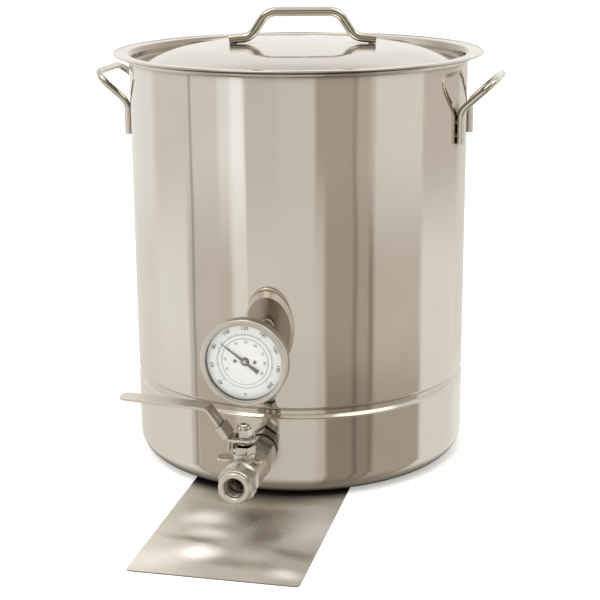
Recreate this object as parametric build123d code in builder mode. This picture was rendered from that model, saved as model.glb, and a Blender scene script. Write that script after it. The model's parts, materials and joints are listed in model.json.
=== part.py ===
"""Ten-gallon stainless brew kettle with a ball valve, a dial thermometer, a false bottom and a heat plate.

The frame has its origin at the centre of the kettle's flat base and +Z up. The valve, the thermometer
and the front of the heat plate face -Y, and the side handles stand at +X and -X. A fitting's place along
its own axis is its distance from the kettle's axis, measured towards -Y.
"""
from math import asin, cos, degrees, radians, sin, sqrt
import os

from build123d import *

# ---- driving dimensions (mm) -------------------------------------------------------------------------
BODY_R = 168.8            # outer radius of the kettle's wall
BODY_H = 408.0            # base to the top of the rolled rim
SHEET = 1.2               # wall thickness
BASE_CORNER = 20.0        # radius between base and wall
BASE_DISC_R = 147.0       # the flat base disc, welded to the wall's foot
BEAD_Z = 84.8             # middle of the bead that carries the false bottom
BEAD_HALF = 5.4           # half the bead's height
BEAD_DEPTH = 2.8
RIM_CURL = 2.4            # centreline radius of the rolled rim

LID_SHEET = 1.0
LID_R = 184.5
LID_LIP = 1.1             # section radius of the lid's rolled lip
LID_GAP = 0.3             # between the rim's top and the lid's flange
LID_SKIRT_R = 166.0       # centreline radius of the skirt that drops inside the kettle
LID_DEPTH = 11.9          # flange to channel floor
LID_CROWN_SLOPE = 3.5     # degrees, where crown meets knuckle
LID_KNUCKLE_SLOPE = 28.0  # degrees, at the foot of the dome
LID_KNUCKLE_R = 137.0

LID_ROD = 9.2
LID_HANDLE_AZIMUTH = 13.0
SIDE_ROD = 7.0

VALVE_Z = 47.0            # height of the valve's axis
STEM_Y = 231.0            # stem axis, from the kettle's axis
PORT_R = 9.3              # half-inch pipe bore
PORT_DEPTH = 15.0
HEX_AF = 31.0             # across flats of the valve's hexagons
BALL_R = 12.0
BALL_BORE_R = 7.0
STEM_R = 4.4
STEM_FLANGE_R = 5.4

DIAL_Z = 152.5            # height of the thermometer's axis
DIAL_PLATE_Y = 223.4      # front of the dial plate
CASE_R = 40.8
WINDOW_R = 35.7
PROBE_R = 3.15
PROBE_TIP_Y = 106.0

NIPPLE_R = 10.4           # outside of the half-inch nipples
WALL_HOLE_R = 11.0
CLEAR = 0.3               # running clearance between moving pieces

PLATE_W = 154.0
PLATE_L = 406.0
PLATE_T = 1.0
PLATE_CORNER = 4.5
PLATE_FRONT_Y = -353.0
PLATE_X = 2.0

FALSE_BOTTOM_R = 166.9
FALSE_BOTTOM_T = 1.5
FALSE_BOTTOM_Z = BEAD_Z + BEAD_HALF + 0.8
HOLE_PITCH = 14.0
HOLE_R = 2.4

INNER_R = BODY_R - SHEET
LID_FLANGE_Z = BODY_H + LID_GAP + LID_SHEET / 2


# ---- helpers -----------------------------------------------------------------------------------------
def facing_out(height, distance):
    """Plane square to a fitting's axis: its normal points to -Y, away from the kettle."""
    return Plane(origin=(0, -distance, height), x_dir=(1, 0, 0), z_dir=(0, -1, 0))


def turned(height, outline, mode=Mode.ADD):
    """Revolve an outline of (radius, distance) points about the fitting axis at this height."""
    with BuildSketch(Plane.XY.offset(height)) as section:
        with BuildLine():
            Polyline(*[(radius, -distance) for radius, distance in outline], close=True)
        make_face()
    revolve(section.sketch, axis=Axis((0, 0, height), (0, -1, 0)), mode=mode)


def ring_outline(inner, outer, start, end):
    """Outline of a plain ring between two distances."""
    return [(inner, start), (outer, start), (outer, end), (inner, end)]


def turned_up(outline, y=0.0, mode=Mode.ADD):
    """Revolve an outline of (radius, height) points about the vertical axis through (0, y)."""
    with BuildSketch(Plane(origin=(0, y, 0), x_dir=(1, 0, 0), z_dir=(0, -1, 0))) as section:
        with BuildLine():
            Polyline(*outline, close=True)
        make_face()
    revolve(section.sketch, axis=Axis((0, y, 0), (0, 0, 1)), mode=mode)


def hexagon(plane, across_flats, length, turn=30.0):
    """Hexagonal bar, with a corner upwards on a fitting plane."""
    with BuildSketch(plane) as section:
        RegularPolygon(across_flats / 2, 6, major_radius=False, rotation=turn)
    extrude(section.sketch, amount=length)


def rod(path, diameter):
    """Round rod along a path."""
    with BuildSketch(Plane(origin=path @ 0, z_dir=path % 0)) as section:
        Circle(diameter / 2)
    sweep(section.sketch, path=path)


# ---- kettle shell ------------------------------------------------------------------------------------
wall_line_r = BODY_R - SHEET / 2
curl_z = BODY_H - SHEET / 2 - RIM_CURL

with BuildPart() as kettle_shell:
    with BuildSketch(Plane.XZ):
        with BuildLine() as shell_line:
            FilletPolyline(
                (BASE_DISC_R + 0.02, SHEET / 2),
                (wall_line_r, SHEET / 2),
                (wall_line_r, BEAD_Z - BEAD_HALF - 4),
                radius=BASE_CORNER - SHEET / 2,
            )
            FilletPolyline(
                (wall_line_r, BEAD_Z - BEAD_HALF - 4),
                (wall_line_r, BEAD_Z - BEAD_HALF),
                (wall_line_r - BEAD_DEPTH, BEAD_Z - 2.4),
                (wall_line_r - BEAD_DEPTH, BEAD_Z + 2.4),
                (wall_line_r, BEAD_Z + BEAD_HALF),
                (wall_line_r, BEAD_Z + BEAD_HALF + 4),
                radius=1.6,
            )
            Line((wall_line_r, BEAD_Z + BEAD_HALF + 4), (wall_line_r, curl_z))
            CenterArc((wall_line_r + RIM_CURL, curl_z), RIM_CURL, 180, -270)
        trace(line_width=SHEET)
    revolve(axis=Axis.Z)
    with BuildSketch(Plane.XY):
        Circle(BASE_DISC_R)
    extrude(amount=SHEET)
    for hole_z in (VALVE_Z, DIAL_Z):
        with BuildSketch(facing_out(hole_z, BODY_R - 20)):
            Circle(WALL_HOLE_R)
        extrude(amount=40, mode=Mode.SUBTRACT)

# ---- side handles ------------------------------------------------------------------------------------
HANDLE_FOOT_ANGLE = 12.5
HANDLE_FOOT_R = BODY_R + SIDE_ROD / 2 + 0.1
HANDLE_FOOT_Z = 326.0
HANDLE_BEND_Z = 358.0
HANDLE_BAR_X = 201.0
HANDLE_BAR_Z = 387.3
HANDLE_BAR_HALF = 41.0
HANDLE_BEND_R = 16.0
foot_x = HANDLE_FOOT_R * cos(radians(HANDLE_FOOT_ANGLE))
foot_y = HANDLE_FOOT_R * sin(radians(HANDLE_FOOT_ANGLE))
WELD_R = 2.8


def side_handle(side):
    """Bent rod with two upright feet, flared legs and one bar, at +X or -X."""
    with BuildLine() as path:
        FilletPolyline(
            (side * foot_x, -foot_y, HANDLE_FOOT_Z),
            (side * foot_x, -foot_y, HANDLE_BEND_Z),
            (side * HANDLE_BAR_X, -HANDLE_BAR_HALF, HANDLE_BAR_Z),
            (side * HANDLE_BAR_X, HANDLE_BAR_HALF, HANDLE_BAR_Z),
            (side * foot_x, foot_y, HANDLE_BEND_Z),
            (side * foot_x, foot_y, HANDLE_FOOT_Z),
            radius=HANDLE_BEND_R,
        )
    rod(path.line, SIDE_ROD)


with BuildPart() as handle_right:
    side_handle(1)

with BuildPart() as handle_left:
    side_handle(-1)

with BuildPart() as handle_welds:
    for azimuth in (0, 180):
        for foot_angle in (-HANDLE_FOOT_ANGLE, HANDLE_FOOT_ANGLE):
            for weld_z in (HANDLE_FOOT_Z + 8, HANDLE_FOOT_Z + 21):
                angle = radians(azimuth + foot_angle)
                outward = (cos(angle), sin(angle), 0)
                start = (BODY_R - 0.1) * Vector(*outward) + Vector(0, 0, weld_z)
                with BuildSketch(Plane(origin=start, z_dir=outward)):
                    Circle(WELD_R)
                extrude(amount=SIDE_ROD / 2)
    add([kettle_shell.part, handle_right.part, handle_left.part], mode=Mode.SUBTRACT)

# ---- lid ---------------------------------------------------------------------------------------------
LID_FLANGE_CORNER = 5.5
LID_CHANNEL_CORNER = 4.0
LID_DOME_FILLET = 6.0
LID_CHANNEL_END_R = 157.5

channel_z = LID_FLANGE_Z - LID_DEPTH
slope_sin = sin(radians(LID_KNUCKLE_SLOPE))
slope_cos = cos(radians(LID_KNUCKLE_SLOPE))
crown_sin = sin(radians(LID_CROWN_SLOPE))
crown_cos = cos(radians(LID_CROWN_SLOPE))
crown_edge_r = LID_CHANNEL_END_R - LID_DOME_FILLET * slope_sin - LID_KNUCKLE_R * (slope_sin - crown_sin)
crown_edge_z = channel_z + LID_DOME_FILLET * (1 - slope_cos) + LID_KNUCKLE_R * (crown_cos - slope_cos)
crown_r = crown_edge_r / crown_sin
crown_top_z = crown_edge_z + crown_r * (1 - crown_cos) + LID_SHEET / 2


def crown_z(radius):
    """Height of the lid's upper surface over its crown."""
    outer_r = crown_r + LID_SHEET / 2
    return crown_top_z - outer_r + sqrt(outer_r**2 - radius**2)


with BuildPart() as lid:
    with BuildSketch(Plane.XZ):
        with BuildLine():
            FilletPolyline(
                (LID_R - LID_LIP, LID_FLANGE_Z),
                (LID_SKIRT_R, LID_FLANGE_Z),
                (LID_SKIRT_R, LID_FLANGE_Z - LID_DEPTH / 2 - 1),
                radius=LID_FLANGE_CORNER,
            )
            FilletPolyline(
                (LID_SKIRT_R, LID_FLANGE_Z - LID_DEPTH / 2 - 1),
                (LID_SKIRT_R, channel_z),
                (LID_CHANNEL_END_R, channel_z),
                radius=LID_CHANNEL_CORNER,
            )
            foot = JernArc((LID_CHANNEL_END_R, channel_z), (-1, 0), LID_DOME_FILLET, -LID_KNUCKLE_SLOPE)
            knuckle = JernArc(foot @ 1, foot % 1, LID_KNUCKLE_R, LID_KNUCKLE_SLOPE - LID_CROWN_SLOPE)
            JernArc(knuckle @ 1, knuckle % 1, crown_r, LID_CROWN_SLOPE)
        trace(line_width=LID_SHEET)
        with Locations((LID_R - LID_LIP, LID_FLANGE_Z + 0.1)):
            Circle(LID_LIP)
    revolve(axis=Axis.Z)

# ---- lid handle --------------------------------------------------------------------------------------
LID_FOOT_END = 73.2
LID_FOOT_CORNER = 52.0
LID_TOP_CORNER = 35.5
LID_BAR_Z = 447.0
LID_FOOT_SLOPE = 5.0
LID_BEND_R = 16.0
LID_HANDLE_SHIFT = 4.3    # the handle is welded a little off the lid's centre

lid_foot_z = crown_z(LID_FOOT_END - LID_HANDLE_SHIFT) + LID_ROD / 2 + 0.1
lid_bend_z = lid_foot_z + (LID_FOOT_END - LID_FOOT_CORNER) * sin(radians(LID_FOOT_SLOPE))
lid_handle_plane = Plane.XZ.rotated((0, 0, LID_HANDLE_AZIMUTH))

with BuildPart() as lid_handle:
    with BuildLine(lid_handle_plane) as lid_handle_line:
        FilletPolyline(
            (LID_HANDLE_SHIFT - LID_FOOT_END, lid_foot_z),
            (LID_HANDLE_SHIFT - LID_FOOT_CORNER, lid_bend_z),
            (LID_HANDLE_SHIFT - LID_TOP_CORNER, LID_BAR_Z),
            (LID_HANDLE_SHIFT + LID_TOP_CORNER, LID_BAR_Z),
            (LID_HANDLE_SHIFT + LID_FOOT_CORNER, lid_bend_z),
            (LID_HANDLE_SHIFT + LID_FOOT_END, lid_foot_z),
            radius=LID_BEND_R,
        )
    rod(lid_handle_line.line, LID_ROD)

with BuildPart() as lid_handle_welds:
    for weld_s in (LID_HANDLE_SHIFT - LID_FOOT_END + 5, LID_HANDLE_SHIFT + LID_FOOT_END - 5):
        weld_x = weld_s * cos(radians(LID_HANDLE_AZIMUTH))
        weld_y = weld_s * sin(radians(LID_HANDLE_AZIMUTH))
        with BuildSketch(Plane(origin=(weld_x, weld_y, crown_z(abs(weld_s)) - 0.1), z_dir=(0, 0, 1))):
            Circle(WELD_R)
        extrude(amount=LID_ROD / 2)
    add([lid.part, lid_handle.part], mode=Mode.SUBTRACT)

# ---- false bottom ------------------------------------------------------------------------------------
with BuildPart() as false_bottom:
    with BuildSketch(Plane.XY.offset(FALSE_BOTTOM_Z)):
        Circle(FALSE_BOTTOM_R)
        with HexLocations(HOLE_PITCH / 2, 23, 23) as hole_grid:
            hole_places = [
                place.position
                for place in hole_grid.locations
                if place.position.length < FALSE_BOTTOM_R - 10 and abs(place.position.Y) > 0.1
            ]
        with Locations(*[(place.X, place.Y) for place in hole_places]):
            Circle(HOLE_R, mode=Mode.SUBTRACT)
    extrude(amount=FALSE_BOTTOM_T)

# ---- heat plate --------------------------------------------------------------------------------------
with BuildPart() as heat_plate:
    with BuildSketch(Plane.XY.offset(-PLATE_T)):
        with Locations((PLATE_X, PLATE_FRONT_Y + PLATE_L / 2)):
            RectangleRounded(PLATE_W, PLATE_L, PLATE_CORNER)
    extrude(amount=PLATE_T)

# ---- wall fittings shared by the valve and the thermometer ---------------------------------------------
GASKET_R = 14.6
OUTER_WASHER_R = 15.3
INNER_WASHER_R = 15.0
WASHER_T = 1.6
LOCKNUT_AF = 28.0
LOCKNUT_T = 8.0
GASKET_OUT_Y = 171.6
INNER_WASHER_Y = sqrt(INNER_R**2 - INNER_WASHER_R**2) - WASHER_T - 0.12
LOCKNUT_Y = INNER_WASHER_Y - LOCKNUT_T
NIPPLE_END_Y = LOCKNUT_Y - 3.0
COUPLING_Y = GASKET_OUT_Y + WASHER_T


def wall_gasket(height):
    """Soft ring whose inner face follows the kettle's round wall."""
    with BuildSketch(facing_out(height, BODY_R - 4)) as section:
        Circle(GASKET_R)
        Circle(WALL_HOLE_R, mode=Mode.SUBTRACT)
    extrude(section.sketch, amount=GASKET_OUT_Y - BODY_R + 4)
    Cylinder(BODY_R, 3 * BODY_R, mode=Mode.SUBTRACT)


def washer(height, distance, outer_r, inner_r=NIPPLE_R + 0.2, thickness=WASHER_T):
    """Flat ring square to a fitting's axis."""
    turned(height, ring_outline(inner_r, outer_r, distance, distance + thickness))


def locknut(height):
    """Hexagonal nut inside the kettle."""
    hexagon(facing_out(height, LOCKNUT_Y), LOCKNUT_AF, LOCKNUT_T)
    turned(height, ring_outline(0, NIPPLE_R + 0.05, LOCKNUT_Y, LOCKNUT_Y + LOCKNUT_T), mode=Mode.SUBTRACT)


with BuildPart() as valve_wall_gasket:
    wall_gasket(VALVE_Z)

with BuildPart() as valve_outer_washer:
    washer(VALVE_Z, GASKET_OUT_Y, OUTER_WASHER_R)

with BuildPart() as valve_inner_washer:
    washer(VALVE_Z, INNER_WASHER_Y, INNER_WASHER_R)

with BuildPart() as valve_locknut:
    locknut(VALVE_Z)

with BuildPart() as thermometer_wall_gasket:
    wall_gasket(DIAL_Z)

with BuildPart() as thermometer_outer_washer:
    washer(DIAL_Z, GASKET_OUT_Y, OUTER_WASHER_R)

with BuildPart() as thermometer_inner_washer:
    washer(DIAL_Z, INNER_WASHER_Y, INNER_WASHER_R)

with BuildPart() as thermometer_locknut:
    locknut(DIAL_Z)

# ---- ball valve --------------------------------------------------------------------------------------
BULKHEAD_AF = 27.0
BULKHEAD_HEX_T = 15.0
VALVE_BACK_Y = COUPLING_Y + BULKHEAD_HEX_T + 5.0
VALVE_FRONT_Y = 269.0
FRONT_DISC_R = 14.7
BARREL_R = 17.2
BARREL_Y0 = VALVE_BACK_Y + 16.0
HEX_Y0 = 249.0
HEX_Y1 = 263.5
CAP_MALE_R = 14.2
CAP_MALE_Y = 224.2
SEAT_OUT_R = 11.0
SEAT_FRONT_Y = STEM_Y + 6.8
SEAT_DEPTH = 5.2
CAVITY_R = BALL_R + 0.6

with BuildPart() as valve_bulkhead:
    turned(
        VALVE_Z,
        [
            (BALL_BORE_R, NIPPLE_END_Y),
            (NIPPLE_R, NIPPLE_END_Y),
            (NIPPLE_R, COUPLING_Y),
            (PORT_R - 0.05, COUPLING_Y),
            (PORT_R - 0.05, VALVE_BACK_Y + 11),
            (BALL_BORE_R, VALVE_BACK_Y + 11),
        ],
    )
    hexagon(facing_out(VALVE_Z, COUPLING_Y), BULKHEAD_AF, BULKHEAD_HEX_T)
    turned(VALVE_Z, ring_outline(0, BALL_BORE_R, NIPPLE_END_Y - 1, VALVE_FRONT_Y), mode=Mode.SUBTRACT)

with BuildPart() as valve_end_cap:
    hexagon(facing_out(VALVE_Z, VALVE_BACK_Y), HEX_AF, BARREL_Y0 - VALVE_BACK_Y)
    turned(
        VALVE_Z,
        [(HEX_AF, VALVE_BACK_Y - 1), (HEX_AF, VALVE_BACK_Y + 2.5), (HEX_AF / 2 - 1, VALVE_BACK_Y - 1)],
        mode=Mode.SUBTRACT,
    )
    turned(VALVE_Z, ring_outline(0, CAP_MALE_R, BARREL_Y0 - 1, CAP_MALE_Y))
    turned(VALVE_Z, ring_outline(0, PORT_R, VALVE_BACK_Y - 1, VALVE_BACK_Y + 11.5), mode=Mode.SUBTRACT)
    turned(VALVE_Z, ring_outline(0, BALL_BORE_R, VALVE_BACK_Y, CAP_MALE_Y + 1), mode=Mode.SUBTRACT)
    turned(
        VALVE_Z,
        ring_outline(0, SEAT_OUT_R, CAP_MALE_Y - SEAT_DEPTH, CAP_MALE_Y + 1),
        mode=Mode.SUBTRACT,
    )

PAD_Z0 = VALVE_Z + 13.0
PAD_TOP = VALVE_Z + 15.6
PAD_ENDS = (-25.0, 18.0)  # the longer ear carries the lock's hole
PAD_WIDTH = 15.0
PAD_CORNER = 5.5
PAD_HOLES = ((-18.6, -3.5), (13.0, -3.5))
PAD_HOLE_R = 1.8
PAD_WEB_HALF = 13.0
COLLAR_R = 10.3
COLLAR_TOP = VALVE_Z + 21.2
PACKING_R = 7.2
PACKING_Z0 = VALVE_Z + 15.0

with BuildPart() as valve_body:
    turned(
        VALVE_Z,
        [
            (0, BARREL_Y0),
            (BARREL_R - 1.5, BARREL_Y0),
            (BARREL_R, BARREL_Y0 + 1.5),
            (BARREL_R, HEX_Y0 - 3),
            (HEX_AF / 2, HEX_Y0),
            (HEX_AF / 2, HEX_Y1),
            (FRONT_DISC_R, HEX_Y1 + 1),
            (FRONT_DISC_R, VALVE_FRONT_Y - 1),
            (FRONT_DISC_R - 1, VALVE_FRONT_Y),
            (0, VALVE_FRONT_Y),
        ],
    )
    hexagon(facing_out(VALVE_Z, HEX_Y0 - 2), HEX_AF, HEX_Y1 - HEX_Y0 + 2)
    turned(
        VALVE_Z,
        [(HEX_AF, HEX_Y1 + 1), (HEX_AF, HEX_Y1 - 6), (FRONT_DISC_R, HEX_Y1 + 1)],
        mode=Mode.SUBTRACT,
    )
    with BuildSketch(Plane.XY.offset(PAD_Z0)):
        with Locations((sum(PAD_ENDS) / 2, -STEM_Y)):
            RectangleRounded(PAD_ENDS[1] - PAD_ENDS[0], PAD_WIDTH, PAD_CORNER)
    extrude(amount=PAD_TOP - PAD_Z0)
    with BuildSketch(Plane.XY.offset(VALVE_Z)):
        with Locations((0, -STEM_Y)):
            RectangleRounded(2 * PAD_WEB_HALF, PAD_WIDTH - 3, 4)
    extrude(amount=PAD_Z0 - VALVE_Z)
    turned_up([(0, VALVE_Z), (COLLAR_R, VALVE_Z), (COLLAR_R, COLLAR_TOP), (0, COLLAR_TOP)], -STEM_Y)
    with BuildSketch(Plane.XY.offset(PAD_TOP + 1)):
        with Locations(*[(x, y - STEM_Y) for x, y in PAD_HOLES]):
            Circle(PAD_HOLE_R)
    extrude(amount=PAD_Z0 - PAD_TOP - 1, mode=Mode.SUBTRACT)
    turned(VALVE_Z, ring_outline(0, PORT_R, VALVE_FRONT_Y - PORT_DEPTH, VALVE_FRONT_Y + 1), mode=Mode.SUBTRACT)
    turned(
        VALVE_Z,
        [(0, VALVE_FRONT_Y + 0.1), (PORT_R + 1.3, VALVE_FRONT_Y + 0.1), (0, VALVE_FRONT_Y - PORT_R - 1.2)],
        mode=Mode.SUBTRACT,
    )
    turned(VALVE_Z, ring_outline(0, BALL_BORE_R, STEM_Y, VALVE_FRONT_Y - 1), mode=Mode.SUBTRACT)
    turned(VALVE_Z, ring_outline(0, SEAT_OUT_R, STEM_Y, SEAT_FRONT_Y + SEAT_DEPTH), mode=Mode.SUBTRACT)
    turned(VALVE_Z, ring_outline(0, CAVITY_R, CAP_MALE_Y + 1, SEAT_FRONT_Y), mode=Mode.SUBTRACT)
    turned(VALVE_Z, ring_outline(0, CAP_MALE_R + 0.05, BARREL_Y0 - 1, CAP_MALE_Y + 1.2), mode=Mode.SUBTRACT)
    turned_up(
        [
            (0, VALVE_Z),
            (STEM_FLANGE_R + CLEAR, VALVE_Z),
            (STEM_FLANGE_R + CLEAR, PACKING_Z0 - 1),
            (STEM_R + CLEAR, PACKING_Z0 - 1),
            (STEM_R + CLEAR, PACKING_Z0),
            (PACKING_R, PACKING_Z0),
            (PACKING_R, COLLAR_TOP + 1),
            (0, COLLAR_TOP + 1),
        ],
        -STEM_Y,
        mode=Mode.SUBTRACT,
    )

with BuildPart() as valve_body_seal:
    washer(VALVE_Z, CAP_MALE_Y, CAP_MALE_R, CAVITY_R + 0.2, 1.1)

with BuildPart() as valve_seats:
    turned(VALVE_Z, ring_outline(BALL_BORE_R, SEAT_OUT_R - 0.05, SEAT_FRONT_Y, SEAT_FRONT_Y + SEAT_DEPTH))
    turned(VALVE_Z, ring_outline(BALL_BORE_R, SEAT_OUT_R - 0.05, CAP_MALE_Y - SEAT_DEPTH, CAP_MALE_Y))
    with Locations((0, -STEM_Y, VALVE_Z)):
        Sphere(BALL_R + CLEAR, mode=Mode.SUBTRACT)

SLOT_W = 4.6
SLOT_Z = VALVE_Z + 9.2
TANG_Z = SLOT_Z + 0.2
FLANGE_Z0 = VALVE_Z + BALL_R + 0.2

with BuildPart() as valve_ball:
    with Locations((0, -STEM_Y, VALVE_Z)):
        Sphere(BALL_R)
        Cylinder(BALL_BORE_R, 3 * BALL_R, rotation=(0, 90, 0), mode=Mode.SUBTRACT)
    with Locations((0, -STEM_Y, SLOT_Z + 5)):
        Box(SLOT_W, 3 * BALL_R, 10, mode=Mode.SUBTRACT)

LEVER_T = 2.3
LEVER_Z = 81.4            # middle of the lever's hub plate
NUT_Z = LEVER_Z + LEVER_T / 2 + 1.0
NUT_T = 10.5
STEM_TOP = NUT_Z + NUT_T + 1.4
GLAND_Z = COLLAR_TOP
GLAND_AF = 18.6
GLAND_T = 7.0
SPRING_Z = GLAND_Z + GLAND_T + 0.1
SPRING_R = 6.6
SPRING_T = 0.9
SPRING_RISE = 1.3

with BuildPart() as valve_stem:
    turned_up(
        [
            (0, FLANGE_Z0),
            (STEM_FLANGE_R, FLANGE_Z0),
            (STEM_FLANGE_R, PACKING_Z0 - 1.3),
            (STEM_R, PACKING_Z0 - 1.3),
            (STEM_R, STEM_TOP - 1),
            (STEM_R - 1, STEM_TOP),
            (0, STEM_TOP),
        ],
        -STEM_Y,
    )
    with Locations((0, -STEM_Y, (TANG_Z + FLANGE_Z0) / 2)):
        Box(SLOT_W - 0.4, 10.5, FLANGE_Z0 - TANG_Z)

with BuildPart() as valve_stem_packing:
    turned_up(
        [
            (STEM_R + CLEAR, PACKING_Z0),
            (PACKING_R, PACKING_Z0),
            (PACKING_R, COLLAR_TOP - 1.2),
            (STEM_R + CLEAR, COLLAR_TOP - 1.2),
        ],
        -STEM_Y,
    )

stem_centre = Plane.XY.offset(GLAND_Z).shift_origin((0, -STEM_Y, GLAND_Z))

with BuildPart() as valve_gland_nut:
    hexagon(stem_centre, GLAND_AF, GLAND_T, turn=0)
    turned_up(
        [(0, GLAND_Z - 1.2), (PACKING_R - 0.1, GLAND_Z - 1.2), (PACKING_R - 0.1, GLAND_Z), (0, GLAND_Z)],
        -STEM_Y,
    )
    with Locations((0, -STEM_Y, GLAND_Z)):
        Cylinder(STEM_R + CLEAR, 40, mode=Mode.SUBTRACT)

with BuildPart() as valve_spring_washers:
    second = SPRING_Z + SPRING_T + SPRING_RISE
    for low, inner_rise, outer_rise in ((SPRING_Z, 0.0, SPRING_RISE), (second, SPRING_RISE, 0.0)):
        turned_up(
            [
                (STEM_R + CLEAR, low + inner_rise),
                (STEM_R + CLEAR, low + inner_rise + SPRING_T),
                (SPRING_R, low + outer_rise + SPRING_T),
                (SPRING_R, low + outer_rise),
            ],
            -STEM_Y,
        )

# ---- lever -------------------------------------------------------------------------------------------
LEVER_W = 18.0
LEVER_HUB_END = 11.0
LEVER_RISE_X = -12.6
LEVER_BEND = (-33.5, 109.8)
LEVER_TIP = (-117.0, 114.2)
RISE_SLOT_START = 17.0    # along the rise, from the hub plate's bend
RISE_SLOT_L = 11.0
RISE_SLOT_W = 3.2

rise_run = LEVER_RISE_X - LEVER_BEND[0]
rise_height = LEVER_BEND[1] - LEVER_Z
rise_length = sqrt(rise_run**2 + rise_height**2)
rise_dir = Vector(-rise_run / rise_length, 0, rise_height / rise_length)
rise_out = Vector(rise_dir.Z, 0, -rise_dir.X)
rise_foot = Vector(LEVER_RISE_X, -STEM_Y, LEVER_Z)

with BuildPart() as valve_lever:
    with BuildSketch(Plane.XZ.offset(STEM_Y)):
        with BuildLine() as lever_line:
            FilletPolyline(
                (LEVER_HUB_END, LEVER_Z),
                (LEVER_RISE_X, LEVER_Z),
                LEVER_BEND,
                LEVER_TIP,
                radius=(3.2, 9.0),
            )
        trace(line_width=LEVER_T)
    extrude(amount=LEVER_W / 2, both=True)
    with BuildSketch(Plane.XY.offset(LEVER_Z - 10)):
        with Locations(((LEVER_HUB_END + LEVER_TIP[0]) / 2, -STEM_Y)):
            RectangleRounded(LEVER_HUB_END - LEVER_TIP[0] + 0.4, LEVER_W, 6.5)
    extrude(amount=60, mode=Mode.INTERSECT)
    with BuildSketch(Plane.XY.offset(LEVER_Z + 5)):
        with Locations((0, -STEM_Y)):
            Circle(STEM_R + 0.1)
    extrude(amount=-10, mode=Mode.SUBTRACT)
    slot_middle = rise_foot + (RISE_SLOT_START + RISE_SLOT_L / 2) * rise_dir
    with BuildSketch(Plane(origin=slot_middle, x_dir=rise_dir, z_dir=rise_out)):
        SlotOverall(RISE_SLOT_L, RISE_SLOT_W)
    extrude(amount=5, both=True, mode=Mode.SUBTRACT)

LOCK_START = 2.6          # along the rise, from the hub plate's bend
LOCK_L = 12.5
LOCK_T = 1.3
LOCK_GAP = 0.35
lock_low = rise_foot + LOCK_START * rise_dir
lock_plane = Plane(origin=lock_low, x_dir=(0, 1, 0), z_dir=rise_dir)
lock_inner_w = LEVER_W + 2 * LOCK_GAP
lock_inner_t = LEVER_T + 2 * LOCK_GAP
TONGUE_W = 7.0
TONGUE_X = -13.8
TONGUE_BEND_Z = 77.0
TONGUE_BOTTOM = 69.5
tongue_root = lock_low - (lock_inner_t + LOCK_T) / 2 * rise_out

with BuildPart() as lever_lock:
    with BuildSketch(lock_plane):
        Rectangle(lock_inner_w + 2 * LOCK_T, lock_inner_t + 2 * LOCK_T)
        Rectangle(lock_inner_w, lock_inner_t, mode=Mode.SUBTRACT)
    extrude(amount=LOCK_L)
    with BuildSketch(Plane.XZ.offset(STEM_Y)):
        with BuildLine():
            Polyline(
                (tongue_root.X + 0.6 * rise_dir.X, tongue_root.Z + 0.6 * rise_dir.Z),
                (TONGUE_X, TONGUE_BEND_Z),
                (TONGUE_X, TONGUE_BOTTOM),
            )
        trace(line_width=LOCK_T)
    extrude(amount=TONGUE_W / 2, both=True)

with BuildPart() as lever_washer:
    turned_up(
        [
            (STEM_R + 0.1, LEVER_Z + LEVER_T / 2),
            (8.0, LEVER_Z + LEVER_T / 2),
            (8.0, NUT_Z),
            (STEM_R + 0.1, NUT_Z),
        ],
        -STEM_Y,
    )

with BuildPart() as lever_nut:
    hexagon(Plane.XY.offset(NUT_Z).shift_origin((0, -STEM_Y, NUT_Z)), 13.0, NUT_T * 0.72, turn=10)
    turned_up([(0, NUT_Z), (5.9, NUT_Z), (5.9, NUT_Z + NUT_T), (0, NUT_Z + NUT_T)], -STEM_Y)
    with Locations((0, -STEM_Y, NUT_Z)):
        Cylinder(STEM_R + 0.05, 40, mode=Mode.SUBTRACT)

# ---- thermometer -------------------------------------------------------------------------------------
COUPLER_AF = 27.0
COUPLER_END_Y = 201.0
FITTING_AF = 22.0
CASE_BACK_Y = 210.5
CASE_T = 0.8
BEZEL_FRONT_Y = 229.6
LENS_Y = 226.4
LENS_T = 2.0
GASKET_RING_T = 1.0
DIAL_T = 0.8
DIAL_R = 37.6

with BuildPart() as thermometer_nipple:
    turned(DIAL_Z, ring_outline(7.8, NIPPLE_R, NIPPLE_END_Y, COUPLING_Y + 11))

with BuildPart() as thermometer_coupler:
    hexagon(facing_out(DIAL_Z, COUPLING_Y), COUPLER_AF, COUPLER_END_Y - COUPLING_Y)
    turned(DIAL_Z, ring_outline(0, NIPPLE_R, COUPLING_Y - 1, COUPLER_END_Y + 1), mode=Mode.SUBTRACT)

with BuildPart() as thermometer_fitting:
    hexagon(facing_out(DIAL_Z, COUPLER_END_Y), FITTING_AF, CASE_BACK_Y - COUPLER_END_Y - 1)
    turned(DIAL_Z, ring_outline(PROBE_R, NIPPLE_R - 0.1, COUPLER_END_Y - 13, COUPLER_END_Y))
    turned(DIAL_Z, ring_outline(0, PROBE_R + 0.05, COUPLER_END_Y - 14, CASE_BACK_Y), mode=Mode.SUBTRACT)

with BuildPart() as thermometer_probe:
    turned(
        DIAL_Z,
        [
            (0, PROBE_TIP_Y),
            (PROBE_R, PROBE_TIP_Y),
            (PROBE_R, CASE_BACK_Y + 2),
            (PROBE_R - 0.6, CASE_BACK_Y + 2),
            (PROBE_R - 0.6, PROBE_TIP_Y + 1),
            (0, PROBE_TIP_Y + 1),
        ],
    )

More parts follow.
